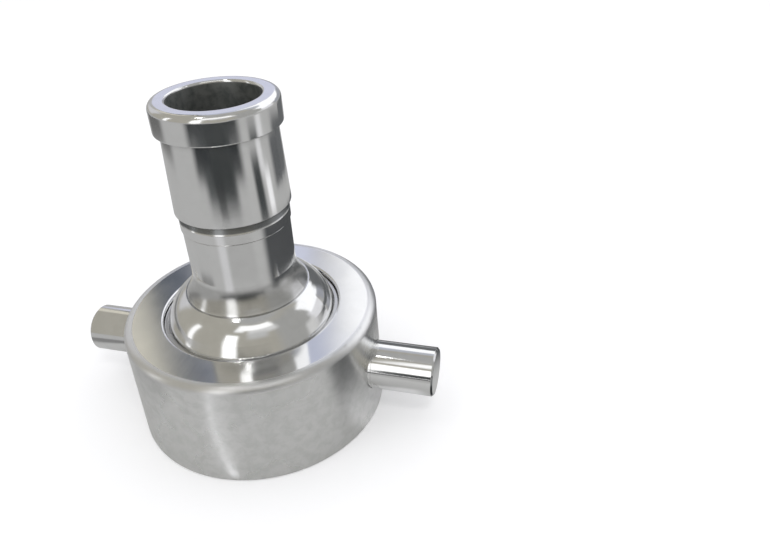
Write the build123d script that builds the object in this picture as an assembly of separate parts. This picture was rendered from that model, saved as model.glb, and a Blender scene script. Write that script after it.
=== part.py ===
from build123d import *
import math
import os

# Quarter turn fire hose coupling half for 50 mm hose, in millimetres.
# Origin: centre of the mouth rim, on the face the coupling stands on. +Z runs up the
# hose tail along the swivel axis, and the two spanner lugs lie along X.
# Heights are Z values; radii are measured from the swivel axis.

# --- Clearances -----------------------------------------------------------------
swivel_clearance = 0.2        # radial, tail hub in the ring's bearing bore
shoulder_clearance = 0.4      # radial, tail shoulder and washer in the ring's seat
snap_clearance = 0.2          # retaining ring in its groove and above its ledge
snap_outer_clearance = 0.3    # retaining ring inside the ring's opening
stem_clearance = 0.05         # lug stem in its tapped hole
spot_clearance = 0.2          # lug's register in its spot face
gasket_clearance = 0.15       # face gasket in its groove, each side

# --- Swivel ring ----------------------------------------------------------------
ring_height = 52.3
ring_draft = 1.2              # what the outer wall's radius loses from rim to top
ring_top_round = 3.0
ring_foot_round = 1.2
mouth_step = 6.1              # from the tail's seat out to the mouth's wall
ring_wall = 8.3               # round the mouth, at the rim
ring_flange_thickness = 9.3   # inward flange that carries the tail
ledge_width = 1.7             # seat of the retaining ring, round the bearing bore
opening_round = 0.8
opening_ledge_depth = 4.1     # from the ring's top down to the retaining ring's ledge
mouth_depth = 33.0
mouth_chamfer = 1.6
groove_edge_round = 0.8

# --- Bayonet claws inside the mouth ----------------------------------------------
claw_count = 2
claw_reach = 5.5              # inwards from the mouth's wall
claw_span = 80.0              # degrees of arc, stop included
claw_stop_span = 9.0          # degrees of arc of the end stop
claw_bottom = 5.5
claw_thickness = 6.5          # at the thin end of the ramp
claw_rise = 2.0               # what the ramp gains along its arc
claw_stop_height = 4.5        # stop above the ramp's thin end
claw_lead_in = 1.2            # chamfer under the claw, towards the mating nose

# --- Spanner lugs ---------------------------------------------------------------
lug_radius = 11.3
lug_reach = 28.2              # beyond the ring's rim
lug_height = 25.9
lug_end_chamfer = 0.8
lug_seat_depth = 1.3          # spot face below the ring's wall
lug_register_step = 0.2       # register inside the lug's radius
lug_standoff = 0.2            # lug's full radius starts this far off the wall
stem_radius = 6.0
stem_setback = 0.6            # stem end short of the mouth's wall

# --- Hose tail ------------------------------------------------------------------
tail_standout = 99.2          # tail end above the ring's top
tail_wall = 4.4               # at the neck
bore_end_round = 0.9
collar_radius = 25.5
collar_length = 11.6
collar_end_round = 2.7
collar_back_round = 0.4
collar_step = 2.4             # from the collar in to the grip
grip_taper = 1.3              # what the grip's radius gains down to its lip
grip_length = 34.6
grip_lip_bevel = 0.5
lip_step = 1.6                # from the lip in to the neck
relief_length = 3.4           # cone turned in under the grip's lip
relief_depth = 1.3            # below the land that it runs out to
neck_land_height = 0.5        # short raised land under the relief
neck_land_length = 4.2
neck_sweep = 18.0             # concave radius from neck to flange
flange_spread = 4.2           # what the concave sweep adds to the neck's radius
flange_step_rise = 12.7
flange_step_width = 0.7
flange_step_drop = 0.5
flange_crown_inset = 4.7      # crown inside the hub's radius
flange_crown_rise = 8.6
flange_crown_round = 18.0
hub_radius = 38.3
hub_top_drop = 1.3            # hub's top edge below the ring's top
hub_edge_round = 0.35
shoulder_reach = 5.7          # beyond the hub
shoulder_thickness = 7.5
shoulder_edge_round = 0.6
shoulder_step = 3.0           # from the shoulder in to the spigot
spigot_length = 10.0
spigot_edge_round = 0.8
flare_length = 34.0
flare_land = 11.0             # parallel length in front of the flare
flare_mouth_chamfer = 1.0

# --- Seals and rings ------------------------------------------------------------
washer_thickness = 1.5
washer_overlap = 0.3          # washer bore outside the hub
snap_depth = 1.4              # retaining ring's groove in the hub
snap_thickness = 1.8
snap_gap = 5.0
snap_gap_angle = 60.0
snap_edge_round = 0.3
spigot_lip = 2.55             # wall outside the gasket's groove
flare_lip = 3.05              # wall inside the gasket's groove
gasket_width = 8.1
gasket_groove_depth = 5.0
gasket_proud = 0.8
gasket_lip_round = 1.2
gasket_bead_width = 3.0       # raised sealing bead on the gasket's face
gasket_bead_height = 0.6

# --- Radii that follow ----------------------------------------------------------
bearing_radius = hub_radius + swivel_clearance
opening_radius = bearing_radius + ledge_width
shoulder_radius = hub_radius + shoulder_reach
seat_radius = shoulder_radius + shoulder_clearance
mouth_radius = seat_radius + mouth_step
claw_inner_radius = mouth_radius - claw_reach
ring_radius = mouth_radius + ring_wall
spigot_radius = shoulder_radius - shoulder_step
gasket_outer_radius = spigot_radius - spigot_lip - gasket_clearance
gasket_inner_radius = gasket_outer_radius - gasket_width
flare_radius = gasket_inner_radius - gasket_clearance - flare_lip
grip_top_radius = collar_radius - collar_step
grip_lip_radius = grip_top_radius + grip_taper
neck_radius = grip_lip_radius - lip_step
neck_land_radius = neck_radius + neck_land_height
bore_radius = neck_radius - tail_wall
flange_step_radius = neck_radius + flange_spread
flange_crown_radius = hub_radius - flange_crown_inset
ring_top_radius = ring_radius - ring_draft
wall_radius = ring_radius - ring_draft * lug_height / ring_height
lug_foot_radius = ring_radius - ring_draft * (lug_height - lug_radius) / ring_height
lug_seat = wall_radius - lug_seat_depth
lug_end = ring_radius + lug_reach
lug_start = lug_foot_radius + lug_standoff
register_radius = lug_radius - lug_register_step

# --- Heights that follow --------------------------------------------------------
ring_top = ring_height
flange_underside = ring_top - ring_flange_thickness
ledge_height = ring_top - opening_ledge_depth
shoulder_top = flange_underside - washer_thickness
shoulder_bottom = shoulder_top - shoulder_thickness
spigot_face = shoulder_bottom - spigot_length
gasket_seat = spigot_face + gasket_groove_depth
hub_top = ring_top - hub_top_drop
snap_bottom = ledge_height + snap_clearance
snap_top = snap_bottom + snap_thickness
tail_end = ring_top + tail_standout
collar_bottom = tail_end - collar_length
grip_bottom = collar_bottom - grip_length
relief_bottom = grip_bottom - relief_length
neck_land_bottom = relief_bottom - neck_land_length
flange_step_height = ring_top + flange_step_rise
flange_crown_height = ring_top + flange_crown_rise


def turned(corners, arc=360):
    """Solid turned about Z from (radius, height, rounding) corners, given in order."""
    with BuildSketch(Plane.XZ) as section:
        with BuildLine():
            Polyline(*[(radius, height) for radius, height, _ in corners], close=True)
        make_face()
        for radius, height, rounding in corners:
            if rounding > 0:
                corner = section.vertices().sort_by_distance((radius, height))[0]
                fillet(corner, rounding)
    return revolve(section.sketch, Axis.Z, revolution_arc=arc)


def ramp_cutter(ramp_start, ramp_span):
    """Body above a claw's screw ramp, which climbs counter-clockwise about Z."""
    ramp_radius = (claw_inner_radius + mouth_radius) / 2
    overrun = 6.0
    full_span = ramp_span + overrun
    climb = claw_rise * full_span / ramp_span
    path = Helix(climb * 360 / full_span, climb, ramp_radius)
    low = claw_bottom + claw_thickness - climb + claw_rise
    width = 3 * (mouth_radius - claw_inner_radius)
    height = claw_stop_height + claw_rise + claw_thickness
    blade = Plane.XZ * Pos(ramp_radius, height / 2) * Rectangle(width, height)
    body = sweep(blade, path, is_frenet=True)
    return Pos(0, 0, low) * Rot(0, 0, ramp_start - overrun) * body


def bayonet_claw(centre_angle):
    """One claw: a ledge with a screw ramp on top and a stop at the ramp's high end."""
    top = claw_bottom + claw_thickness + claw_stop_height
    root = (mouth_radius + ring_radius) / 2
    start = centre_angle - claw_span / 2
    blank = turned([
        (claw_inner_radius, claw_bottom + claw_lead_in, 0),
        (claw_inner_radius + claw_lead_in, claw_bottom, 0),
        (root, claw_bottom, 0),
        (root, top, 0),
        (claw_inner_radius, top, 0),
    ], claw_span)
    return Rot(0, 0, start) * blank - ramp_cutter(start, claw_span - claw_stop_span)


def swivel_ring():
    ring = turned([
        (ring_radius, 0, ring_foot_round),
        (ring_top_radius, ring_top, ring_top_round),
        (opening_radius, ring_top, opening_round),
        (opening_radius, ledge_height, 0),
        (bearing_radius, ledge_height, 0),
        (bearing_radius, flange_underside, groove_edge_round),
        (seat_radius, flange_underside, 0),
        (seat_radius, mouth_depth, groove_edge_round),
        (mouth_radius, mouth_depth, 0),
        (mouth_radius, mouth_chamfer, 0),
        (mouth_radius + mouth_chamfer, 0, 0),
    ])
    for index in range(claw_count):
        ring += bayonet_claw(index * 360 / claw_count)
    for side in (0, 180):
        ring -= Rot(0, 0, side) * lug_pocket()
    return ring


def lug_pocket():
    """Spot face and tapped hole for one lug, on the +X side."""
    spot_length = 2 * lug_seat_depth
    spot = Pos(lug_seat + spot_length / 2, 0, lug_height) * Rot(0, 90, 0) * Cylinder(
        register_radius + spot_clearance, spot_length
    )
    hole_length = lug_seat - mouth_radius + stem_radius
    hole = Pos(lug_seat - hole_length / 2, 0, lug_height) * Rot(0, 90, 0) * Cylinder(
        stem_radius + stem_clearance, hole_length
    )
    return spot + hole


def lug_pin():
    """One spanner lug on the +X side: a round bar with a stem screwed into the ring."""
    stem_end = mouth_radius + stem_setback
    with BuildSketch(Plane.XZ) as section:
        with BuildLine():
            Polyline(
                (stem_end, lug_height),
                (stem_end, lug_height + stem_radius),
                (lug_seat, lug_height + stem_radius),
                (lug_seat, lug_height + register_radius),
                (lug_start, lug_height + register_radius),
                (lug_start, lug_height + lug_radius),
                (lug_end, lug_height + lug_radius),
                (lug_end, lug_height),
                close=True,
            )
        make_face()
        tip = section.vertices().sort_by_distance((lug_end, lug_height + lug_radius))[0]
        chamfer(tip, lug_end_chamfer)
        stem_tip = section.vertices().sort_by_distance((stem_end, lug_height + stem_radius))[0]
        chamfer(stem_tip, lug_end_chamfer)
    return revolve(section.sketch, Axis((0, 0, lug_height), (1, 0, 0)))


def hose_tail():
    snap_floor = hub_radius - snap_depth
    groove_bottom = snap_bottom - snap_clearance / 2
    groove_top = snap_top + snap_clearance / 2
    gasket_inner = gasket_inner_radius - gasket_clearance
    gasket_outer = gasket_outer_radius + gasket_clearance
    neck_corner_height = flange_step_height + neck_sweep * math.tan(math.radians(20))
    flare_start = spigot_face + flare_land
    return turned([
        (bore_radius, tail_end, bore_end_round),
        (collar_radius, tail_end, collar_end_round),
        (collar_radius, collar_bottom, collar_back_round),
        (grip_top_radius, collar_bottom, 0),
        (grip_lip_radius, grip_bottom + grip_lip_bevel, 0),
        (grip_lip_radius - grip_lip_bevel, grip_bottom, 0),
        (neck_land_radius - relief_depth, grip_bottom, 0),
        (neck_land_radius, relief_bottom, 0),
        (neck_land_radius, neck_land_bottom, 0),
        (neck_radius, neck_land_bottom - neck_land_height, 0),
        (neck_radius, neck_corner_height, neck_sweep),
        (flange_step_radius, flange_step_height, 0),
        (flange_step_radius, flange_step_height - flange_step_drop, 0),
        (flange_step_radius + flange_step_width, flange_step_height - flange_step_drop, 0),
        (flange_crown_radius, flange_crown_height, flange_crown_round),
        (hub_radius, hub_top, hub_edge_round),
        (hub_radius, groove_top, 0),
        (snap_floor, groove_top, 0),
        (snap_floor, groove_bottom, 0),
        (hub_radius, groove_bottom, 0),
        (hub_radius, shoulder_top, 0),
        (shoulder_radius, shoulder_top, shoulder_edge_round),
        (shoulder_radius, shoulder_bottom, shoulder_edge_round),
        (spigot_radius, shoulder_bottom, 0),
        (spigot_radius, spigot_face, spigot_edge_round),
        (gasket_outer, spigot_face, 0),
        (gasket_outer, gasket_seat, 0),
        (gasket_inner, gasket_seat, 0),
        (gasket_inner, spigot_face, 0),
        (flare_radius + flare_mouth_chamfer, spigot_face, 0),
        (flare_radius, spigot_face + flare_mouth_chamfer, 0),
        (flare_radius, flare_start, 0),
        (bore_radius, flare_start + flare_length, 0),
    ])


def thrust_washer():
    inner = hub_radius + washer_overlap
    return turned([
        (inner, shoulder_top, 0),
        (inner, flange_underside, 0),
        (shoulder_radius, flange_underside, 0),
        (shoulder_radius, shoulder_top, 0),
    ])


def retaining_ring():
    inner = hub_radius - snap_depth + snap_clearance
    outer = opening_radius - snap_outer_clearance
    band = turned([
        (inner, snap_bottom, 0),
        (inner, snap_top, snap_edge_round),
        (outer, snap_top, snap_edge_round),
        (outer, snap_bottom, 0),
    ])
    gap = Rot(0, 0, snap_gap_angle) * Pos((inner + outer) / 2, 0, (snap_bottom + snap_top) / 2) * Box(
        2 * (outer - inner), snap_gap, 2 * snap_thickness
    )
    return band - gap


def face_gasket():
    face = spigot_face - gasket_proud
    middle = (gasket_inner_radius + gasket_outer_radius) / 2
    bead_half = gasket_bead_width / 2
    return turned([
        (gasket_inner_radius, gasket_seat, 0),
        (gasket_outer_radius, gasket_seat, 0),
        (gasket_outer_radius, face + gasket_bead_height, gasket_bead_height),
        (middle + bead_half, face + gasket_bead_height, 0),
        (middle + bead_half, face, gasket_bead_height / 2),
        (middle - bead_half, face, gasket_bead_height / 2),
        (middle - bead_half, face + gasket_bead_height, 0),
        (gasket_inner_radius, face + gasket_bead_height, gasket_lip_round),
    ])


os.makedirs("parts", exist_ok=True)
nodes = {
    "swivel_ring": swivel_ring(),
    "hose_tail": hose_tail(),
    "lug_pin_right": lug_pin(),
    "lug_pin_left": Rot(0, 0, 180) * lug_pin(),
    "thrust_washer": thrust_washer(),
    "retaining_ring": retaining_ring(),
    "face_gasket": face_gasket(),
}
for name, piece in nodes.items():
    export_step(piece, f"parts/{name}.step")
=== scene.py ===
"""Finishes, studio and camera for one half of a quarter turn fire hose coupling.

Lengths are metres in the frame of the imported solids: +Z runs up the hose tail along the
swivel axis, X runs through the two spanner lugs, and Z is zero at the mouth's rim. Bearings
are degrees clockwise, seen from above, from straight behind the object as the camera sees it.
"""

import logging
import math
from dataclasses import dataclass
from enum import Enum

import bpy
from mathutils import Matrix, Vector


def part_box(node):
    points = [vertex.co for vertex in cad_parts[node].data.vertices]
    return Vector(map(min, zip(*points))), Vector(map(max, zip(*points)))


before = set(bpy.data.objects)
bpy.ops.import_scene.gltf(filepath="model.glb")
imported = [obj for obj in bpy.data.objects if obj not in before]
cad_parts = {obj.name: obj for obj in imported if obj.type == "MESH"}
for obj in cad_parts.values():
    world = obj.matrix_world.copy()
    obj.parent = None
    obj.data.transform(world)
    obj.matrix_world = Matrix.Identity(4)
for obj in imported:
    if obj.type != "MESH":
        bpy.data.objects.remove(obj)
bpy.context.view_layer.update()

log = logging.getLogger("coupling")
Colour = tuple[float, float, float]
Socket = bpy.types.NodeSocket

MILLIMETRE = 0.001

# Numbers of a Mix node's sockets, which share their names: factor, first and second value, result.
MIX_SOCKETS = {"FLOAT": ((0, 2, 3), 0), "RGBA": ((0, 6, 7), 2)}

QUARTER_TURN = 0.25  # of a full turn, which lays the highlights across the lathe's marks
WORN_METAL: Colour = (0.93, 0.93, 0.93)
# Painted shade: the near-black colour that inner corners are darkened towards.
CORNER_SHADE: Colour = (0.13, 0.13, 0.125)
WIPE_TURN = (0.4, 0.9, 0.2)  # radians about each axis
WIPE_GRAIN = (900.0, 60.0, 240.0)  # marks per metre along each turned axis
WIPE_CONTRAST = 0.8
WIPE_LEAST = 0.35
# Painted corner shade is broken up by patches of this size and strength.
CORNER_SHADE_GRAIN = 260.0  # patches per metre
CORNER_SHADE_CONTRAST = 0.6
CORNER_SHADE_LEAST = 0.65
SECOND_REFLECTION = 1.5  # glossy depths above this are reflections of reflections


class Spin(Enum):
    """Axis that a piece was turned about in the lathe."""

    SWIVEL = "swivel"
    LUG = "lug"


class Bounce(Enum):
    """Reflections that a part of the surroundings shows up in."""

    ANY = "any"
    FIRST = "first"
    LATER = "later"


class Graph:
    """Adds nodes to one shader tree and wires them."""

    def __init__(self, tree: bpy.types.NodeTree) -> None:
        """Keeps the shader tree of a material, a world or a group, and empties it."""
        self.tree = tree
        tree.nodes.clear()

    def add(self, kind: str, **settings: object) -> bpy.types.Node:
        """Adds one node.

        Args:
            kind: Node type without its "ShaderNode" prefix, or "NodeGroupInput" and the like.
            settings: Properties to set on the node.

        Returns:
            The new node.
        """
        name = kind if kind.startswith("Node") else "ShaderNode" + kind
        node = self.tree.nodes.new(name)
        for key, value in settings.items():
            setattr(node, key, value)
        return node

    def feed(self, target: Socket, source: "Socket | float | Colour") -> None:
        """Links a socket to an input, or sets the input to a constant.

        Args:
            target: Input socket.
            source: Output socket, number or colour.
        """
        if isinstance(source, bpy.types.NodeSocket):
            self.tree.links.new(source, target)
        elif isinstance(source, tuple) and len(source) == 3 and target.type == "RGBA":
            target.default_value = (*source, 1.0)
        else:
            target.default_value = source

    def wire(self, node: bpy.types.Node, **values: "Socket | float | Colour") -> bpy.types.Node:
        """Feeds a node's inputs by name.

        Args:
            node: The node.
            values: Sources by the input's name, with spaces written as underscores.

        Returns:
            The same node.
        """
        for key, value in values.items():
            self.feed(node.inputs[key.replace("_", " ")], value)
        return node

    def math(self, operation: str, *terms: "Socket | float", clamp: bool = False) -> Socket:
        """Adds a Math node.

        Args:
            operation: Blender's name of the operation.
            terms: One to three sockets or numbers.
            clamp: Whether the result is held between 0 and 1.

        Returns:
            The node's value output.
        """
        node = self.add("Math", operation=operation, use_clamp=clamp)
        for target, term in zip(node.inputs, terms):
            self.feed(target, term)
        return node.outputs[0]

    def step(self, value: Socket, start: "Socket | float", end: "Socket | float") -> Socket:
        """Smooth step of a value, 0 at start and 1 at end; start may be the larger."""
        node = self.add("MapRange", interpolation_type="SMOOTHSTEP")
        return self.wire(node, Value=value, From_Min=start, From_Max=end).outputs["Result"]

    def _mix(self, kind: str, *sources: "Socket | float | Colour") -> Socket:
        """Adds a Mix node.

        Args:
            kind: Blender's name of the type of data.
            sources: Factor, first and second value.

        Returns:
            The mixed value.
        """
        node = self.add("Mix", data_type=kind)
        targets, result = MIX_SOCKETS[kind]
        for target, source in zip(targets, sources):
            self.feed(node.inputs[target], source)
        return node.outputs[result]

    def blend(self, factor: "Socket | float", low: "Socket | float", high: "Socket | float") -> Socket:
        """Mixes two numbers; a factor of 0 gives low and 1 gives high."""
        return self._mix("FLOAT", factor, low, high)

    def tint(self, factor: "Socket | float", low: "Socket | Colour", high: "Socket | Colour") -> Socket:
        """Mixes two colours; a factor of 0 gives low and 1 gives high."""
        return self._mix("RGBA", factor, low, high)

    def noise(
        self, place: Socket, scale: "Socket | float" = 1.0, detail: "Socket | float" = 2.0,
        roughness: float = 0.5, distortion: float = 0.0,
    ) -> Socket:
        """Adds a 3-D noise.

        Args:
            place: Vector that the noise is read at.
            scale: Grains per unit of that vector.
            detail: Number of finer octaves.
            roughness: Strength of the finer octaves.
            distortion: How far the grains are smeared.

        Returns:
            The noise, from 0 to 1.
        """
        node = self.add("TexNoise", noise_dimensions="3D")
        self.wire(node, Vector=place, Scale=scale, Detail=detail, Roughness=roughness, Distortion=distortion)
        return node.outputs["Fac"]

    def object_place(self) -> Socket:
        """Place of the shaded point in the object's own frame, in metres."""
        return self.add("TexCoord").outputs["Object"]

    def bumped(self, height: Socket, normal: "Socket | None" = None) -> Socket:
        """Turns a height in metres into a bumped normal.

        Args:
            height: Height of the marks.
            normal: Normal to start from, where it isn't the surface's own.

        Returns:
            The bumped normal.
        """
        bump = self.wire(self.add("Bump"), Strength=1.0, Distance=1.0, Height=height)
        if normal is not None:
            self.wire(bump, Normal=normal)
        return bump.outputs[0]

    def show(self, surface: Socket) -> None:
        """Wires a shader's output socket to the material's output."""
        self.wire(self.add("OutputMaterial"), Surface=surface)

    def use(self, group: bpy.types.NodeTree, **values: "Socket | float") -> bpy.types.Node:
        """Places a node group and feeds its inputs by name."""
        return self.wire(self.add("Group", node_tree=group), **values)


def new_material(name: str) -> tuple[bpy.types.Material, Graph]:
    """Makes an empty node material.

    Args:
        name: Name of the material.

    Returns:
        The material and its graph.
    """
    material = bpy.data.materials.new(name)
    material.use_nodes = True
    return material, Graph(material.node_tree)


class Effect:
    """A shader node group with named inputs and outputs, built once and shared."""

    def __init__(self, name: str, inputs: dict[str, float], outputs: dict[str, str]) -> None:
        """Makes the empty group.

        Args:
            name: Name of the group.
            inputs: Float inputs and their default values.
            outputs: Outputs and their socket types, "Float", "Color" or "Vector".
        """
        self.group = bpy.data.node_groups.new(name, "ShaderNodeTree")
        for title, value in inputs.items():
            socket = self.group.interface.new_socket(title, in_out="INPUT", socket_type="NodeSocketFloat")
            socket.default_value = value
        for title, kind in outputs.items():
            self.group.interface.new_socket(title, in_out="OUTPUT", socket_type="NodeSocket" + kind)
        self.graph = Graph(self.group)
        self.given = self.graph.add("NodeGroupInput")
        self.result = self.graph.add("NodeGroupOutput")

    def input(self, title: str) -> Socket:
        """Socket inside the group that carries the named input."""
        return self.given.outputs[title]

    def output(self, title: str, source: Socket) -> None:
        """Wires a socket to the named output of the group."""
        self.graph.feed(self.result.inputs[title], source)


class Effects:
    """The shared effects of all finishes."""

    def __init__(self, lug_height: float) -> None:
        """Builds every group.

        Args:
            lug_height: Height of the lugs' axis above the rim.
        """
        self.place = {
            Spin.SWIVEL: self._lathe_place("place_about_swivel", Spin.SWIVEL, 0.0),
            Spin.LUG: self._lathe_place("place_about_lug", Spin.LUG, lug_height),
        }
        self.lines = self._turning_lines()
        self.mottle = self._mottle()
        self.haze = self._haze()
        self.edges = self._worn_edges()
        self.corner_shade = self._painted_corner_shade()

    def _lathe_place(self, name: str, spin: Spin, offset: float) -> bpy.types.NodeTree:
        """Group that gives a point's radius and distance along a lathe axis, and the place of its marks.

        Args:
            name: Name of the group.
            spin: Which axis.
            offset: Height of the axis where it lies level.

        Returns:
            The node group.
        """
        effect = Effect(name, {}, {"Radius": "Float", "Along": "Float", "Ring": "Vector"})
        graph = effect.graph
        split = graph.add("SeparateXYZ")
        graph.feed(split.inputs[0], graph.object_place())
        x, y, z = split.outputs
        if spin is Spin.SWIVEL:
            first, second, along = x, y, z
        else:
            first, second, along = y, graph.math("SUBTRACT", z, offset), x
        squares = [graph.math("MULTIPLY", side, side) for side in (first, second)]
        radius = graph.math("SQRT", graph.math("ADD", *squares))
        angle = graph.math("ARCTAN2", second, first)
        waver = graph.math("MULTIPLY", graph.math("SINE", angle), MILLIMETRE)
        ring = graph.wire(graph.add("CombineXYZ"), X=radius, Y=along, Z=waver)
        effect.output("Radius", radius)
        effect.output("Along", along)
        effect.output("Ring", ring.outputs[0])
        return effect.group

    def _turning_lines(self) -> bpy.types.NodeTree:
        """Group of fine tool marks that run round the lathe axis.

        Returns:
            The node group.
        """
        effect = Effect("turning_lines", {"Spacing": 0.0004}, {"Height": "Float"})
        effect.group.interface.new_socket("Ring", in_out="INPUT", socket_type="NodeSocketVector")
        graph = effect.graph
        scaled = graph.add("VectorMath", operation="SCALE")
        graph.feed(scaled.inputs[0], effect.input("Ring"))
        graph.feed(scaled.inputs["Scale"], graph.math("DIVIDE", 1.0, effect.input("Spacing")))
        effect.output("Height", graph.noise(scaled.outputs[0], detail=3.0, roughness=0.65))
        return effect.group

    def _mottle(self) -> bpy.types.NodeTree:
        """Group of the soft cloudy mottling of cast and buffed aluminium.

        Returns:
            The node group.
        """
        effect = Effect("cast_mottle", {"Size": 0.006, "Detail": 3.0}, {"Value": "Float"})
        graph = effect.graph
        scale = graph.math("DIVIDE", 1.0, effect.input("Size"))
        detail = effect.input("Detail")
        clouds = graph.noise(graph.object_place(), scale, detail, roughness=0.6, distortion=0.35)
        effect.output("Value", clouds)
        return effect.group

    def _haze(self) -> bpy.types.NodeTree:
        """Group of handling haze: large soft patches with thin wipe marks in them.

        Returns:
            The node group.
        """
        effect = Effect("handling_haze", {"Size": 0.03}, {"Mask": "Float"})
        graph = effect.graph
        place = graph.object_place()
        patches = graph.noise(place, graph.math("DIVIDE", 1.0, effect.input("Size")))
        stretch = graph.wire(graph.add("Mapping"), Vector=place, Rotation=WIPE_TURN, Scale=WIPE_GRAIN)
        wipes = graph.noise(stretch.outputs[0])
        soft = graph.step(patches, start=0.38, end=0.68)
        streaked = graph.math("MULTIPLY_ADD", wipes, WIPE_CONTRAST, WIPE_LEAST)
        effect.output("Mask", graph.math("MULTIPLY", soft, streaked, clamp=True))
        return effect.group

    def _worn_edges(self) -> bpy.types.NodeTree:
        """Group that rounds the shading of sharp edges and marks them.

        Returns:
            The node group.
        """
        effect = Effect("worn_edges", {"Radius": 0.0003}, {"Normal": "Vector", "Mask": "Float"})
        graph = effect.graph
        bevel = graph.wire(graph.add("Bevel", samples=4), Radius=effect.input("Radius"))
        facing = graph.add("VectorMath", operation="DOT_PRODUCT")
        graph.feed(facing.inputs[0], bevel.outputs[0])
        graph.feed(facing.inputs[1], graph.add("NewGeometry").outputs["Normal"])
        effect.output("Normal", bevel.outputs[0])
        effect.output("Mask", graph.step(facing.outputs["Value"], start=0.995, end=0.9))
        return effect.group

    def _painted_corner_shade(self) -> bpy.types.NodeTree:
        """Group of painted shade: it marks inner corners, found by ambient occlusion and broken into patches,
        for darkening.

        Returns:
            The node group.
        """
        effect = Effect("painted_corner_shade", {"Reach": 0.0035}, {"Mask": "Float"})
        graph = effect.graph
        hidden = graph.add("AmbientOcclusion", samples=6, only_local=True)
        graph.wire(hidden, Distance=effect.input("Reach"))
        patches = graph.noise(graph.object_place(), CORNER_SHADE_GRAIN)
        deep = graph.step(hidden.outputs["AO"], start=0.92, end=0.5)
        broken = graph.math("MULTIPLY_ADD", patches, CORNER_SHADE_CONTRAST, CORNER_SHADE_LEAST)
        effect.output("Mask", graph.math("MULTIPLY", deep, broken, clamp=True))
        return effect.group


@dataclass(frozen=True)
class MetalLook:
    """How one metal surface looks: its colour, gloss and the marks on it.

    Attributes:
        colour: The clean metal's colour.
        shade: Colour of its duller patches.
        roughness: Roughness where there is no haze.
        roughness_spread: What full haze adds to it.
        line_spacing: Metres between the lathe's tool marks.
        line_depth: Depth of the tool marks in metres.
        mottle_size: Size of the cloudy mottle in metres.
        mottle_depth: Depth of the mottle in metres.
        mottle_tone: Share of the shade where the mottle is strongest.
        wave_size: Length of the buffing waves in metres.
        wave_depth: Depth of the buffing waves in metres.
    """

    colour: Colour
    shade: Colour
    roughness: float
    roughness_spread: float = 0.05
    line_spacing: float = 0.0003
    line_depth: float = 0.0
    mottle_size: float = 0.005
    mottle_depth: float = 0.0
    mottle_tone: float = 0.25
    wave_size: float = 0.02
    wave_depth: float = 0.0

    def sockets(self, graph: Graph, effects: Effects, spin: Spin) -> tuple[Socket, Socket, Socket]:
        """Adds the look's nodes.

        Args:
            graph: The material's graph.
            effects: The shared groups.
            spin: Axis that the surface was turned about.

        Returns:
            Sockets of colour, roughness and height in metres.
        """
        place = graph.use(effects.place[spin])
        lines = graph.use(effects.lines, Ring=place.outputs["Ring"], Spacing=self.line_spacing).outputs[0]
        mottle = graph.use(effects.mottle, Size=self.mottle_size).outputs[0]
        waves = graph.use(effects.mottle, Size=self.wave_size, Detail=0.0).outputs[0]
        haze = graph.use(effects.haze).outputs[0]
        tone = graph.math("MULTIPLY", graph.step(mottle, start=0.35, end=0.7), self.mottle_tone)
        colour = graph.tint(tone, self.colour, self.shade)
        spread = graph.math("MULTIPLY_ADD", haze, self.roughness_spread, self.roughness)
        height = graph.math("MULTIPLY", lines, self.line_depth)
        height = graph.math("MULTIPLY_ADD", mottle, self.mottle_depth, height)
        height = graph.math("MULTIPLY_ADD", waves, self.wave_depth, height)
        return colour, spread, height


@dataclass(frozen=True)
class Zone:
    """Part of a piece with a look of its own, bounded by radius and along its axis in metres.

    Attributes:
        look: Look inside the zone.
        least_radius: Radius that it starts at.
        most_radius: Radius that it ends at.
        least_along: Distance along the axis that it starts at.
        most_along: Distance along the axis that it ends at.
        softness: How far it fades to either side of each bound.
    """

    look: MetalLook
    least_radius: float = -1.0
    most_radius: float = 1.0
    least_along: float = -1.0
    most_along: float = 1.0
    softness: float = 0.0004

    def mask(self, graph: Graph, place: bpy.types.Node) -> Socket:
        """Adds the zone's mask.

        Args:
            graph: The material's graph.
            place: Group node that gives Radius and Along.

        Returns:
            Socket that is 1 inside the zone.
        """
        soft = self.softness
        mask: Socket | float = 1.0
        for title, least, most in (
            ("Radius", self.least_radius, self.most_radius),
            ("Along", self.least_along, self.most_along),
        ):
            past = graph.step(place.outputs[title], least - soft, least + soft)
            short = graph.step(place.outputs[title], most + soft, most - soft)
            mask = graph.math("MULTIPLY", mask, graph.math("MULTIPLY", past, short))
        return mask


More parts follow.
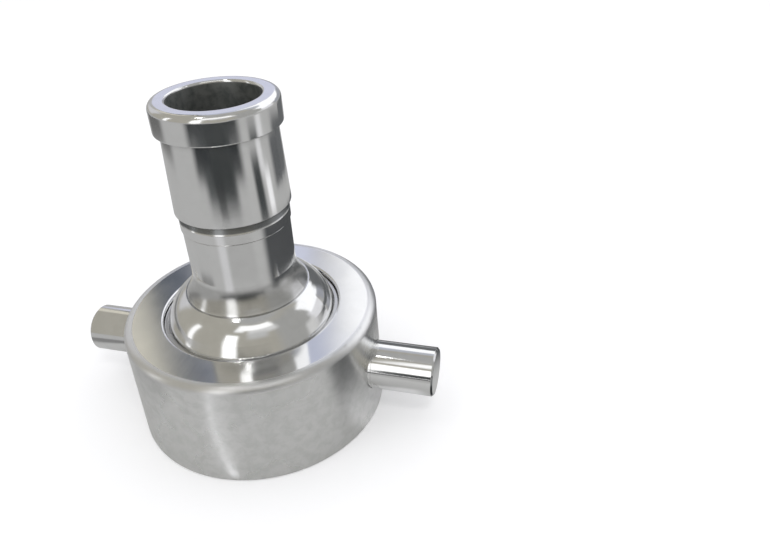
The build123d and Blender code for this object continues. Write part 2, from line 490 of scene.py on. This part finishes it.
@dataclass(frozen=True)
class MetalFinish:
    """A metal material of one look, or of several that change over with place.

    Attributes:
        name: Name of the material.
        base: Look outside all zones.
        spin: Axis that the piece was turned about.
        edge_radius: Radius in metres that sharp edges are shaded with.
        edge_lift: How much lighter the worn edges are.
        streak: How far the lathe's marks draw the highlights out.
        corner_shade: Strength of the painted shade that darkens inner corners.
        corner_shade_reach: Metres that the painted shade reaches out of a corner.
        zones: Parts with looks of their own, later ones over earlier ones.
    """

    name: str
    base: MetalLook
    spin: Spin = Spin.SWIVEL
    edge_radius: float = 0.0003
    edge_lift: float = 0.12
    streak: float = 0.4
    corner_shade: float = 0.55
    corner_shade_reach: float = 0.0035
    zones: tuple[Zone, ...] = ()

    def build(self, effects: Effects) -> bpy.types.Material:
        """Makes the material.

        Args:
            effects: The shared groups.

        Returns:
            The material.
        """
        material, graph = new_material(self.name)
        colour, roughness, height = self.base.sockets(graph, effects, self.spin)
        place = graph.use(effects.place[self.spin])
        for zone in self.zones:
            mask = zone.mask(graph, place)
            inner = zone.look.sockets(graph, effects, self.spin)
            colour = graph.tint(mask, colour, inner[0])
            roughness = graph.blend(mask, roughness, inner[1])
            height = graph.blend(mask, height, inner[2])
        edges = graph.use(effects.edges, Radius=self.edge_radius)
        lifted = graph.math("MULTIPLY", edges.outputs["Mask"], self.edge_lift)
        # Painted shade: inner corners, found by ambient occlusion, are darkened.
        corners = graph.use(effects.corner_shade, Reach=self.corner_shade_reach).outputs[0]
        corner_shading = graph.math("MULTIPLY", corners, self.corner_shade)
        worn = graph.tint(lifted, colour, WORN_METAL)
        around = graph.add("Tangent", direction_type="RADIAL", axis="Z" if self.spin is Spin.SWIVEL else "X")
        shader = graph.wire(
            graph.add("BsdfPrincipled"), Metallic=1.0, Specular_IOR_Level=0.5, Roughness=roughness,
            Base_Color=graph.tint(corner_shading, worn, CORNER_SHADE), Normal=graph.bumped(height, edges.outputs["Normal"]),
            Anisotropic=self.streak, Anisotropic_Rotation=QUARTER_TURN, Tangent=around.outputs[0],
        )
        graph.show(shader.outputs[0])
        return material


@dataclass(frozen=True)
class PlainFinish:
    """A plastic or rubber material with fine grain.

    Attributes:
        name: Name of the material.
        colour: The clean colour.
        shade: Colour under haze.
        roughness: Least roughness.
        grain_size: Size of the grain in metres.
        grain_depth: Depth of the grain in metres.
        roughness_spread: What the grain adds to the roughness.
    """

    name: str
    colour: Colour
    shade: Colour
    roughness: float
    grain_size: float
    grain_depth: float
    roughness_spread: float = 0.15

    def build(self, effects: Effects) -> bpy.types.Material:
        """Makes the material.

        Args:
            effects: The shared groups.

        Returns:
            The material.
        """
        material, graph = new_material(self.name)
        grain = graph.use(effects.mottle, Size=self.grain_size, Detail=4.0).outputs[0]
        haze = graph.use(effects.haze).outputs[0]
        shader = graph.wire(
            graph.add("BsdfPrincipled"), Base_Color=graph.tint(haze, self.colour, self.shade),
            Roughness=graph.math("MULTIPLY_ADD", grain, self.roughness_spread, self.roughness),
            Normal=graph.bumped(graph.math("MULTIPLY", grain, self.grain_depth)),
        )
        graph.show(shader.outputs[0])
        return material


POLISHED = MetalLook(
    colour=(0.87, 0.87, 0.865), shade=(0.80, 0.80, 0.79), roughness=0.09, roughness_spread=0.07,
    line_depth=0.0000004, mottle_tone=0.4, wave_depth=0.00002,
)
# Rougher finish with painted dark reflection: the concave sweep's colour is darkened to stand for the dark
# surroundings that it mirrors.
SWEPT_PAINTED_DARK = MetalLook(
    colour=(0.64, 0.64, 0.63), shade=(0.54, 0.54, 0.53), roughness=0.20, roughness_spread=0.07,
    line_depth=0.0000008, mottle_tone=0.5, wave_depth=0.00003,
)
# Painted shade: the dark colour under the grip's lip stands for the shade that falls there.
RELIEF_PAINTED_SHADE = MetalLook(
    colour=(0.27, 0.28, 0.285), shade=(0.19, 0.195, 0.20), roughness=0.24, roughness_spread=0.08,
    line_depth=0.0000008, mottle_tone=0.5,
)
FACED = MetalLook(
    colour=(0.87, 0.87, 0.865), shade=(0.80, 0.80, 0.79), roughness=0.10, roughness_spread=0.06,
    line_spacing=0.0004, line_depth=0.0000005, wave_depth=0.00002,
)
TURNED = MetalLook(
    colour=(0.87, 0.87, 0.86), shade=(0.75, 0.76, 0.74), roughness=0.27, roughness_spread=0.03,
    line_spacing=0.0005, line_depth=0.0000008, mottle_size=0.0045, mottle_depth=0.000005, mottle_tone=0.75,
)
ROUNDED = MetalLook(
    colour=(0.87, 0.87, 0.865), shade=(0.80, 0.80, 0.79), roughness=0.36, roughness_spread=0.03,
)
MACHINED = MetalLook(
    colour=(0.74, 0.74, 0.73), shade=(0.62, 0.62, 0.61), roughness=0.34, roughness_spread=0.06,
    line_spacing=0.0007, line_depth=0.000003,
)
AS_CAST = MetalLook(
    colour=(0.35, 0.36, 0.355), shade=(0.19, 0.205, 0.20), roughness=0.55, roughness_spread=0.15,
    mottle_size=0.004, mottle_depth=0.00012, mottle_tone=0.9,
)
SPRING = MetalLook(
    colour=(0.62, 0.62, 0.63), shade=(0.50, 0.50, 0.51), roughness=0.24, roughness_spread=0.08,
    line_depth=0.000002,
)
NYLON = PlainFinish(
    "washer_nylon", colour=(0.80, 0.78, 0.70), shade=(0.72, 0.70, 0.62),
    roughness=0.45, grain_size=0.0006, grain_depth=0.00001,
)
RUBBER = PlainFinish(
    "gasket_rubber", colour=(0.022, 0.022, 0.023), shade=(0.045, 0.045, 0.044),
    roughness=0.55, grain_size=0.0004, grain_depth=0.00002,
)


class CadPiece:
    """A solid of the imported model, which keeps its mesh and gets a material."""

    def __init__(self, node: str) -> None:
        """Finds the solid of the named node and keeps the corners of its box."""
        self.node = node
        self.low, self.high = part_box(node)

    def dress(self, material: bpy.types.Material) -> None:
        """Gives the solid its material.

        Args:
            material: The material.
        """
        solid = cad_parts[self.node]
        solid.data.materials.clear()
        solid.data.materials.append(material)
        log.info("%s wears %s", self.node, material.name)


@dataclass
class SwivelRing:
    """The cup shaped ring: satin wall, polished top, machined mouth.

    Each softness is how far a finish fades at its bounds.

    Attributes:
        faced_depth: Height of the polished top, down from the ring's top.
        rounded_width: Width of the rounded outer edge, in from the ring's rim.
        machined_inset: Metal of the wall that lies outside the machined mouth.
        machined_drop: How far the machined mouth stays below the ring's top.
    """

    faced_depth: float = 3.0 * MILLIMETRE
    faced_softness: float = 0.25 * MILLIMETRE
    rounded_width: float = 5.1 * MILLIMETRE
    rounded_softness: float = 0.5 * MILLIMETRE
    machined_inset: float = 7.0 * MILLIMETRE
    machined_drop: float = 6.0 * MILLIMETRE
    machined_softness: float = 0.2 * MILLIMETRE

    def build(self, effects: Effects) -> None:
        """Dresses the ring.

        Args:
            effects: The shared groups.
        """
        piece = CadPiece("swivel_ring")
        radius = piece.high.x
        top = piece.high.z
        zones = (
            Zone(FACED, least_along=top - self.faced_depth, softness=self.faced_softness),
            Zone(ROUNDED, least_radius=radius - self.rounded_width, least_along=top - self.faced_depth,
                 softness=self.rounded_softness),
            Zone(MACHINED, most_radius=radius - self.machined_inset, most_along=top - self.machined_drop,
                 softness=self.machined_softness),
        )
        piece.dress(MetalFinish("ring_metal", TURNED, streak=0.8, zones=zones).build(effects))


@dataclass
class HoseTail:
    """The tail: polished outside, as cast in its waterway, machined at its front, with painted shade under
    the grip's lip and painted dark reflection on its sweep.

    Each softness is how far a finish fades at its bounds.

    Attributes:
        bore_radius: Radius up to which the waterway's wall counts.
        bore_start: How far above the tail's front the waterway is narrow and as cast.
        bore_end: Polished length at the waterway's upper end.
        hub_drop: How far below the ring's top the machined hub starts.
        sweep_low: Lower end of the concave sweep, which is rougher and painted darker as dark reflection.
        sweep_high: Upper end of the sweep.
        relief_low: Lower end of the relief under the grip's lip, which is painted dark as shade.
        relief_high: Upper end of the relief.
        relief_radius: Radius that the relief stays outside of.
    """

    bore_radius: float = 18.7 * MILLIMETRE
    bore_start: float = 45.0 * MILLIMETRE
    bore_end: float = 1.0 * MILLIMETRE
    bore_softness: float = 0.3 * MILLIMETRE
    hub_drop: float = 3.0 * MILLIMETRE
    sweep_low: float = 65.3 * MILLIMETRE
    sweep_high: float = 75.2 * MILLIMETRE
    sweep_softness: float = 1.1 * MILLIMETRE
    relief_low: float = 102.4 * MILLIMETRE
    relief_high: float = 105.8 * MILLIMETRE
    relief_radius: float = 20.4 * MILLIMETRE
    relief_softness: float = 0.35 * MILLIMETRE

    def build(self, effects: Effects, ring_top: float) -> None:
        """Dresses the tail.

        Args:
            effects: The shared groups.
            ring_top: Height of the ring's top, below which the tail is out of sight.
        """
        piece = CadPiece("hose_tail")
        zones = (
            Zone(MACHINED, most_along=ring_top - self.hub_drop),
            # Painted dark reflection on the concave sweep.
            Zone(SWEPT_PAINTED_DARK, least_along=self.sweep_low, most_along=self.sweep_high, softness=self.sweep_softness),
            # Painted shade under the grip's lip.
            Zone(RELIEF_PAINTED_SHADE, least_along=self.relief_low, most_along=self.relief_high,
                 least_radius=self.relief_radius, softness=self.relief_softness),
            Zone(AS_CAST, most_radius=self.bore_radius, least_along=piece.low.z + self.bore_start,
                 most_along=piece.high.z - self.bore_end, softness=self.bore_softness),
        )
        piece.dress(MetalFinish("tail_metal", POLISHED, zones=zones).build(effects))


@dataclass
class SpannerLugs:
    """The two round bars that the ring is turned by.

    Attributes:
        nodes: Names of their solids.
    """

    nodes: tuple[str, ...] = ("lug_pin_right", "lug_pin_left")

    def build(self, effects: Effects) -> None:
        """Dresses both lugs.

        Args:
            effects: The shared groups.
        """
        material = MetalFinish("lug_metal", POLISHED, spin=Spin.LUG).build(effects)
        for node in self.nodes:
            CadPiece(node).dress(material)


@dataclass
class SealsAndRings:
    """The small pieces between ring and tail, and the gasket in the tail's face."""

    def build(self, effects: Effects) -> None:
        """Dresses the retaining ring, the thrust washer and the gasket.

        Args:
            effects: The shared groups.
        """
        CadPiece("retaining_ring").dress(MetalFinish("spring_metal", SPRING).build(effects))
        CadPiece("thrust_washer").dress(NYLON.build(effects))
        CadPiece("face_gasket").dress(RUBBER.build(effects))


@dataclass(frozen=True)
class Panel:
    """A soft edged area of the studio's surroundings, as seen from the object.

    Attributes:
        bearing: Bearing of its middle.
        half_width: Degrees from the middle to either side.
        elevation: Middle, in degrees above level.
        half_height: Degrees from the middle up and down.
        softness: Degrees over which the edges fade, to either side of them.
        colour: Its light.
        bounce: The reflections that it shows up in.
    """

    bearing: float
    half_width: float
    elevation: float
    half_height: float
    softness: float
    colour: Colour
    bounce: Bounce = Bounce.ANY


@dataclass(frozen=True)
class Card:
    """A bowed card round the object, seen only in reflections, with soft edges.

    Attributes:
        name: Name of its object.
        bearing: Bearing of its middle.
        half_width: Degrees from the middle to either side.
        distance: Metres from the swivel axis.
        top: Height of its upper edge in metres.
        colour: Its light.
        side_softness: Degrees over which its sides fade.
        top_softness: Metres over which its upper edge fades.
        foot: Height of its lower edge in metres.
        foot_softness: Metres over which its lower edge fades.
        bounce: The reflections that it shows up in.
    """

    name: str
    bearing: float
    half_width: float
    distance: float
    top: float
    colour: Colour
    side_softness: float = 4.0
    top_softness: float = 0.01
    foot: float = 0.0
    foot_softness: float = 0.0001
    bounce: Bounce = Bounce.ANY


@dataclass(frozen=True)
class Patch:
    """A soft edged area of the floor, seen in reflections, painted darker as a shadow or lighter as a pool of
    light.

    Attributes:
        bearing: Bearing of its middle.
        half_width: Degrees from the middle to either side.
        inner: Metres from the swivel axis to its near edge.
        outer: Metres from the swivel axis to its far edge.
        softness: Degrees over which its sides fade.
        radial_softness: Metres over which its near and far edges fade.
        colour: The floor's colour there.
    """

    bearing: float
    half_width: float
    inner: float
    outer: float
    softness: float
    radial_softness: float
    colour: Colour


@dataclass(frozen=True)
class Lamp:
    """A small rectangular area lamp that is aimed at the origin.

    Attributes:
        name: Name of its object.
        bearing: Its bearing.
        elevation: Degrees above level.
        width: Metres.
        height: Metres.
        power: Watts.
        mirrored: Whether it shows in reflections.
    """

    name: str
    bearing: float
    elevation: float
    width: float
    height: float
    power: float
    mirrored: bool


@dataclass(frozen=True)
class StripPoint:
    """A point on the middle line of the bright strip on the floor.

    Attributes:
        bearing: Its bearing.
        distance: Metres from the swivel axis.
        half_width: Half the strip's width there, in metres.
    """

    bearing: float
    distance: float
    half_width: float


WALLS: Colour = (0.405, 0.39, 0.345)  # surroundings where no panel is, in reflections
FILL: Colour = (0.93, 0.93, 0.95)  # even light on matt surfaces
BACKDROP: Colour = (1.0, 1.0, 1.0)
FLOOR: Colour = (0.94, 0.94, 0.94)
FLOOR_SEEN: Colour = (0.455, 0.455, 0.445)  # floor where no patch is, in reflections
STRIP_LIGHT: Colour = (0.95, 0.95, 0.97)

# Values are in the order of the fields above. Later panels and patches lie over earlier ones.
PANELS = (
    Panel(0, 190, 88, 18, 6, (0.40, 0.40, 0.395)),
    Panel(118, 34, 2, 62, 10, (0.37, 0.37, 0.36)),
    Panel(30, 42, 54, 8, 5, (0.50, 0.52, 0.58)),
    Panel(36, 30, 8, 12, 5, (0.36, 0.37, 0.41)),
    Panel(84, 15, 6, 17, 5, (0.80, 0.80, 0.83)),
    Panel(104, 9, 2, 8, 4, (0.65, 0.65, 0.65)),
    Panel(-12, 12, 12, 9, 5, (0.46, 0.46, 0.47)),
    Panel(3, 11, 20, 9, 3, (0.66, 0.68, 0.82)),
    Panel(1.5, 5.5, 32, 5, 1.5, (0.68, 0.71, 0.86)),
    Panel(2, 6.5, 42, 8, 1.5, (0.50, 0.53, 0.66)),
    Panel(51.5, 42.5, 34, 16, 2, (1.16, 1.17, 1.2)),
    Panel(-16, 6.0, 36, 10, 1.0, (0.70, 0.67, 0.58)),
    Panel(-7.2, 2.4, 36, 10, 0.8, (0.08, 0.095, 0.12)),
    Panel(-34, 14, 20, 14, 5, (0.62, 0.62, 0.64)),
    Panel(-84.5, 4.0, 14, 20, 1.5, (1.25, 1.25, 1.25)),
    Panel(170, 26, 49, 7, 5, (0.70, 0.70, 0.70), Bounce.FIRST),
    Panel(180, 15, 39, 8, 6, (0.54, 0.54, 0.54), Bounce.FIRST),
    Panel(178, 40, 55, 14, 8, (0.22, 0.22, 0.22), Bounce.LATER),
    Panel(-132, 14, 56, 18, 4, (1.5, 1.5, 1.5), Bounce.LATER),
    Panel(-141, 9, 13, 27, 3, (1.5, 1.5, 1.5)),
)
CARDS = (
    Card("card_front", -171, 19, 0.24, 0.088, (0.046, 0.050, 0.051), 6, 0.012, 0.032, 0.018),
    Card("card_low", -162, 6, 0.20, 0.062, (0.05, 0.053, 0.054), 3, 0.004, 0.038, 0.006),
    Card("card_right", 45, 15, 0.18, 0.134, (0.14, 0.145, 0.15), 6, 0.008, 0.05, 0.01),
    Card("card_far", 62, 24, 0.30, 0.048, (0.12, 0.125, 0.13), 7, 0.008),
    Card("softbox", -178, 33, 0.30, 0.72, (1.2, 1.2, 1.2), 4, 0.03, 0.43, 0.03, Bounce.FIRST),
    Card("softbox_left", -149, 8, 0.30, 0.72, (1.0, 1.0, 1.0), 3, 0.03, 0.38, 0.03, Bounce.FIRST),
)
# Painted shadows and pools of light on the floor, which show only in reflections.
FLOOR_LIGHT_AND_SHADE = (
    Patch(0, 181, 0.0, 0.125, 2, 0.02, (0.54, 0.54, 0.53)),
    Patch(-175, 28, 0.145, 0.21, 6, 0.02, (0.405, 0.405, 0.395)),
    Patch(-166, 43, 0.375, 0.95, 7, 0.03, (0.018, 0.021, 0.023)),
    Patch(-164, 26, 0.31, 0.42, 7, 0.03, (0.075, 0.08, 0.08)),
    Patch(-50, 22, 0.39, 0.80, 8, 0.04, (0.15, 0.15, 0.145)),
    Patch(-92, 16, 0.106, 0.148, 6, 0.008, (0.24, 0.24, 0.235)),
    Patch(126, 8, 0.25, 0.42, 4, 0.03, (0.05, 0.055, 0.055)),
    Patch(104, 6, 0.26, 0.36, 3, 0.03, (0.95, 0.95, 0.95)),
    Patch(113, 5, 0.36, 0.55, 4, 0.03, (0.72, 0.72, 0.72)),
    Patch(76, 57, 0.100, 0.24, 9, 0.006, (0.075, 0.078, 0.08)),
    Patch(126, 11, 0.090, 0.125, 5, 0.005, (0.03, 0.032, 0.033)),
    Patch(122, 14, 0.056, 0.080, 5, 0.005, (0.85, 0.85, 0.85)),
    Patch(-141, 8, 0.125, 0.25, 5, 0.015, (0.60, 0.60, 0.60)),
)
LAMPS = (
    Lamp("lamp_front", 176.0, 58.0, 0.27, 0.09, 1.4, mirrored=False),
    Lamp("lamp_left", -105.0, 74.0, 0.10, 0.08, 0.25, mirrored=True),
)
STRIP = (
    StripPoint(-159.3, 0.0610, 0.0022),
    StripPoint(-147.5, 0.0815, 0.0026),
    StripPoint(-141.2, 0.1050, 0.0034),
    StripPoint(-141.0, 0.1280, 0.0050),
)


@dataclass
class Studio:
    """Pale floor, soft surroundings, lamps and reflector cards.

    Attributes:
        facing: Camera's azimuth in degrees, which bearings are turned by.
        floor_size: Side of the square floor.
        floor_roughness: Roughness of the floor.
        floor_glow: Extra light that the floor shows to the camera.
        lamp_distance: Metres from the origin to every lamp.
        strip_height: Height of the bright strip above the floor.
        card_steps: Flat faces that a bowed card is made of.
    """

    facing: float
    floor_size: float = 12.0
    floor_roughness: float = 0.9
    floor_glow: float = 0.12
    lamp_distance: float = 1.1
    strip_height: float = 0.0006
    card_steps: int = 24

    def __post_init__(self) -> None:
        """Builds the group that masks panels, patches and cards."""
        self.sector = self._sector_group()

    def build(self) -> None:
        """Builds the world, the floor, the lamps, the strip and the cards."""
        self._world()
        self._floor()
        for lamp in LAMPS:
            self._lamp(lamp)
        self._strip()
        for card in CARDS:
            self._card(card)

    def _sector_group(self) -> bpy.types.NodeTree:
        """Group that masks a soft edged range of bearing and of one more measure.

        Returns:
            The node group.
        """
        inputs = {"Turn": 0.0, "Middle Turn": 0.0, "Half Width": 30.0, "Turn Softness": 5.0,
                  "Level": 0.0, "Least": -1.0, "Most": 1.0, "Least Softness": 0.1, "Most Softness": 0.1}
        effect = Effect("studio_sector", inputs, {"Mask": "Float"})
        graph = effect.graph
        apart = graph.math("SUBTRACT", effect.input("Turn"), effect.input("Middle Turn"))
        apart = graph.math("ABSOLUTE", graph.math("WRAP", apart, 180.0, -180.0))
        level = effect.input("Level")
        mask: Socket | float = 1.0
        for value, edge, softness, way in (
            (apart, "Half Width", "Turn Softness", -1.0),
            (level, "Most", "Most Softness", -1.0),
            (level, "Least", "Least Softness", 1.0),
        ):
            start = graph.math("MULTIPLY_ADD", effect.input(softness), -way, effect.input(edge))
            end = graph.math("MULTIPLY_ADD", effect.input(softness), way, effect.input(edge))
            mask = graph.math("MULTIPLY", mask, graph.step(value, start, end))
        effect.output("Mask", mask)
        return effect.group

    def _turn(self, graph: Graph, place: Socket) -> tuple[Socket, bpy.types.Node]:
        """Works out the bearing of a point or a direction.

        Args:
            graph: The material's or the world's graph.
            place: The point or direction.

        Returns:
            Degrees clockwise from +Y, and the node that splits the vector into its axes.
        """
        split = graph.add("SeparateXYZ")
        graph.feed(split.inputs[0], place)
        return graph.math("DEGREES", graph.math("ARCTAN2", split.outputs[0], split.outputs[1])), split

    def _world(self) -> None:
        """Surroundings: panels in reflections, an even fill for matt surfaces, white behind."""
        world = bpy.data.worlds.new("studio_world")
        world.use_nodes = True
        graph = Graph(world.node_tree)
        turn, split = self._turn(graph, graph.add("TexCoord").outputs["Generated"])
        rise = graph.math("DEGREES", graph.math("ARCSINE", split.outputs[2]))
        path = graph.add("LightPath")
        later = graph.math("GREATER_THAN", path.outputs["Glossy Depth"], SECOND_REFLECTION)
        shown = {Bounce.FIRST: graph.math("SUBTRACT", 1.0, later), Bounce.LATER: later}
        seen: Socket | Colour = WALLS
        for panel in PANELS:
            mask = graph.use(
                self.sector, Turn=turn, Middle_Turn=panel.bearing - self.facing, Half_Width=panel.half_width,
                Turn_Softness=panel.softness, Level=rise, Least=panel.elevation - panel.half_height,
                Most=panel.elevation + panel.half_height, Least_Softness=panel.softness,
                Most_Softness=panel.softness,
            ).outputs[0]
            if panel.bounce in shown:
                mask = graph.math("MULTIPLY", mask, shown[panel.bounce])
            seen = graph.tint(mask, seen, panel.colour)
        mirrored = graph.tint(path.outputs["Is Glossy Ray"], FILL, seen)
        colour = graph.tint(path.outputs["Is Camera Ray"], mirrored, BACKDROP)
        background = graph.wire(graph.add("Background"), Color=colour)
        graph.wire(graph.add("OutputWorld"), Surface=background.outputs[0])
        bpy.context.scene.world = world

    def _floor(self) -> None:
        """Pale floor, darker in reflections, as a table top is beside a white backdrop, with painted shadows
        and pools of light for reflections.
        """
        half = self.floor_size / 2
        corners = [(-half, -half, 0.0), (half, -half, 0.0), (half, half, 0.0), (-half, half, 0.0)]
        floor, graph = self._prop("floor", corners, [(0, 1, 2, 3)])
        path = graph.add("LightPath")
        turn, split = self._turn(graph, graph.object_place())
        squares = [graph.math("POWER", split.outputs[axis], 2.0) for axis in (0, 1)]
        radius = graph.math("SQRT", graph.math("ADD", *squares))
        seen: Socket | Colour = FLOOR_SEEN
        for patch in FLOOR_LIGHT_AND_SHADE:
            mask = graph.use(
                self.sector, Turn=turn, Middle_Turn=patch.bearing - self.facing, Half_Width=patch.half_width,
                Turn_Softness=patch.softness, Level=radius, Least=patch.inner, Most=patch.outer,
                Least_Softness=patch.radial_softness, Most_Softness=patch.radial_softness,
            ).outputs[0]
            seen = graph.tint(mask, seen, patch.colour)
        shader = graph.wire(
            graph.add("BsdfPrincipled"), Roughness=self.floor_roughness, Specular_IOR_Level=0.0,
            Base_Color=graph.tint(path.outputs["Is Glossy Ray"], FLOOR, seen), Emission_Color=BACKDROP,
            Emission_Strength=graph.math("MULTIPLY", path.outputs["Is Camera Ray"], self.floor_glow),
        )
        graph.show(shader.outputs[0])

    def _prop(
        self, name: str, points: list[tuple[float, float, float]], faces: list[tuple[int, ...]],
    ) -> tuple[bpy.types.Object, Graph]:
        """Makes a piece of the studio and the graph of its material.

        Args:
            name: Name of the piece.
            points: Its corners.
            faces: Its faces, as numbers of corners.

        Returns:
            The object and its material's graph.
        """
        mesh = bpy.data.meshes.new(name)
        mesh.from_pydata(points, [], faces)
        prop = bpy.data.objects.new(name, mesh)
        bpy.context.scene.collection.objects.link(prop)
        material, graph = new_material(name)
        mesh.materials.append(material)
        return prop, graph

    def _stage_mirrored(self, prop: bpy.types.Object) -> None:
        """Hides a studio piece from all but reflections.

        Args:
            prop: The piece.
        """
        prop.visible_camera = False
        prop.visible_diffuse = False
        prop.visible_shadow = False

    def _toward(self, bearing: float, elevation: float, distance: float) -> Vector:
        """Point in a direction from the object.

        Args:
            bearing: Bearing of the direction.
            elevation: Degrees above level.
            distance: Metres from the origin.

        Returns:
            The point.
        """
        turn = math.radians(bearing - self.facing)
        rise = math.radians(elevation)
        flat = math.cos(rise) * distance
        return Vector((math.sin(turn) * flat, math.cos(turn) * flat, math.sin(rise) * distance))

    def _lamp(self, lamp: Lamp) -> None:
        """Adds one lamp, which draws a bright glint or only lights.

        Args:
            lamp: Its place, size and power.
        """
        light = bpy.data.lights.new(lamp.name, "AREA")
        light.shape = "RECTANGLE"
        light.size = lamp.width
        light.size_y = lamp.height
        light.energy = lamp.power
        holder = bpy.data.objects.new(lamp.name, light)
        holder.location = self._toward(lamp.bearing, lamp.elevation, self.lamp_distance)
        holder.rotation_euler = holder.location.to_track_quat("Z", "Y").to_euler()
        holder.visible_glossy = lamp.mirrored
        bpy.context.scene.collection.objects.link(holder)

    def _strip(self) -> None:
        """Thin bright strip on the floor, which the ring's wall draws out into a streak."""
        near: list[tuple[float, float, float]] = []
        far: list[tuple[float, float, float]] = []
        for point in STRIP:
            away = self._toward(point.bearing, 0.0, 1.0)
            across = Vector((away.y, -away.x, 0.0)) * point.half_width
            for row, side in ((near, -1.0), (far, 1.0)):
                spot = away * point.distance + across * side
                row.append((spot.x, spot.y, self.strip_height))
        corners = near + far[::-1]
        strip, graph = self._prop("floor_strip", corners, [tuple(range(len(corners)))])
        glow = graph.wire(graph.add("Emission"), Color=STRIP_LIGHT)
        graph.show(glow.outputs[0])
        self._stage_mirrored(strip)

    def _card(self, card: Card) -> None:
        """Adds one bowed card round the object.

        Args:
            card: Its place, size and look.
        """
        reach = card.half_width + card.side_softness
        points: list[tuple[float, float, float]] = []
        faces: list[tuple[int, ...]] = []
        for step in range(self.card_steps + 1):
            share = 2 * step / self.card_steps - 1
            foot = self._toward(card.bearing + reach * share, 0.0, card.distance)
            points += [tuple(foot), (foot.x, foot.y, card.top + card.top_softness)]
            if step:
                low = 2 * step
                faces.append((low - 2, low, low + 1, low - 1))
        prop, graph = self._prop(card.name, points, faces)
        turn, split = self._turn(graph, graph.object_place())
        mask = graph.use(
            self.sector, Turn=turn, Middle_Turn=card.bearing - self.facing, Half_Width=card.half_width,
            Turn_Softness=card.side_softness, Level=split.outputs[2], Least=card.foot, Most=card.top,
            Least_Softness=card.foot_softness, Most_Softness=card.top_softness,
        ).outputs[0]
        if card.bounce is Bounce.FIRST:
            depth = graph.add("LightPath").outputs["Glossy Depth"]
            mask = graph.math("MULTIPLY", mask, graph.math("LESS_THAN", depth, SECOND_REFLECTION))
        glow = graph.wire(graph.add("Emission"), Color=card.colour)
        mixed = graph.add("MixShader")
        graph.feed(mixed.inputs[0], mask)
        graph.feed(mixed.inputs[1], graph.add("BsdfTransparent").outputs[0])
        graph.feed(mixed.inputs[2], glow.outputs[0])
        graph.show(mixed.outputs[0])
        self._stage_mirrored(prop)


@dataclass
class Viewpoint:
    """The camera: where it stands round the object and where it looks.

    Attributes:
        azimuth: Degrees round the swivel axis, from -Y towards +X.
        distance: Metres from the swivel axis.
        height: Metres above the floor.
        heading: Degrees that it looks to the right of +Y.
        dip: Degrees that it looks down.
        roll: Degrees that it is turned about its line of sight.
        lens: Focal length in millimetres.
        film: Width of the sensor in millimetres.
        nearest: Metres to the nearest thing that it sees.
    """

    azimuth: float = 29.55
    distance: float = 0.2559
    height: float = 0.2290
    heading: float = -15.42
    dip: float = 33.02
    roll: float = -2.58
    lens: float = 30.58
    film: float = 36.0
    nearest: float = 0.01

    def build(self) -> None:
        """Makes the camera and sets it as the scene's."""
        data = bpy.data.cameras.new("camera")
        data.sensor_width = self.film
        data.lens = self.lens
        data.clip_start = self.nearest
        camera = bpy.data.objects.new("camera", data)
        stand = math.radians(self.azimuth)
        heading, dip = math.radians(self.heading), math.radians(self.dip)
        ahead = Vector((math.sin(heading) * math.cos(dip), math.cos(heading) * math.cos(dip), -math.sin(dip)))
        right = Vector((math.cos(heading), -math.sin(heading), 0.0))
        up = right.cross(ahead)
        spin = Matrix.Rotation(math.radians(-self.roll), 3, ahead)
        right, up = spin @ right, spin @ up
        turn = Matrix((right, up, -ahead)).transposed().to_4x4()
        place = Vector((self.distance * math.sin(stand), -self.distance * math.cos(stand), self.height))
        camera.matrix_world = Matrix.Translation(place) @ turn
        bpy.context.scene.collection.objects.link(camera)
        bpy.context.scene.camera = camera


def main() -> None:
    """Builds the view, the studio and every piece's finish."""
    logging.basicConfig(level=logging.INFO, format="%(name)s: %(message)s")
    bpy.context.scene.view_settings.view_transform = "Standard"
    view = Viewpoint()
    view.build()
    Studio(facing=view.azimuth).build()
    lug_low, lug_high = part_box("lug_pin_right")
    effects = Effects(lug_height=(lug_low.z + lug_high.z) / 2)
    ring_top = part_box("swivel_ring")[1].z
    SwivelRing().build(effects)
    HoseTail().build(effects, ring_top)
    SpannerLugs().build(effects)
    SealsAndRings().build(effects)


if __name__ == "__main__":
    main()
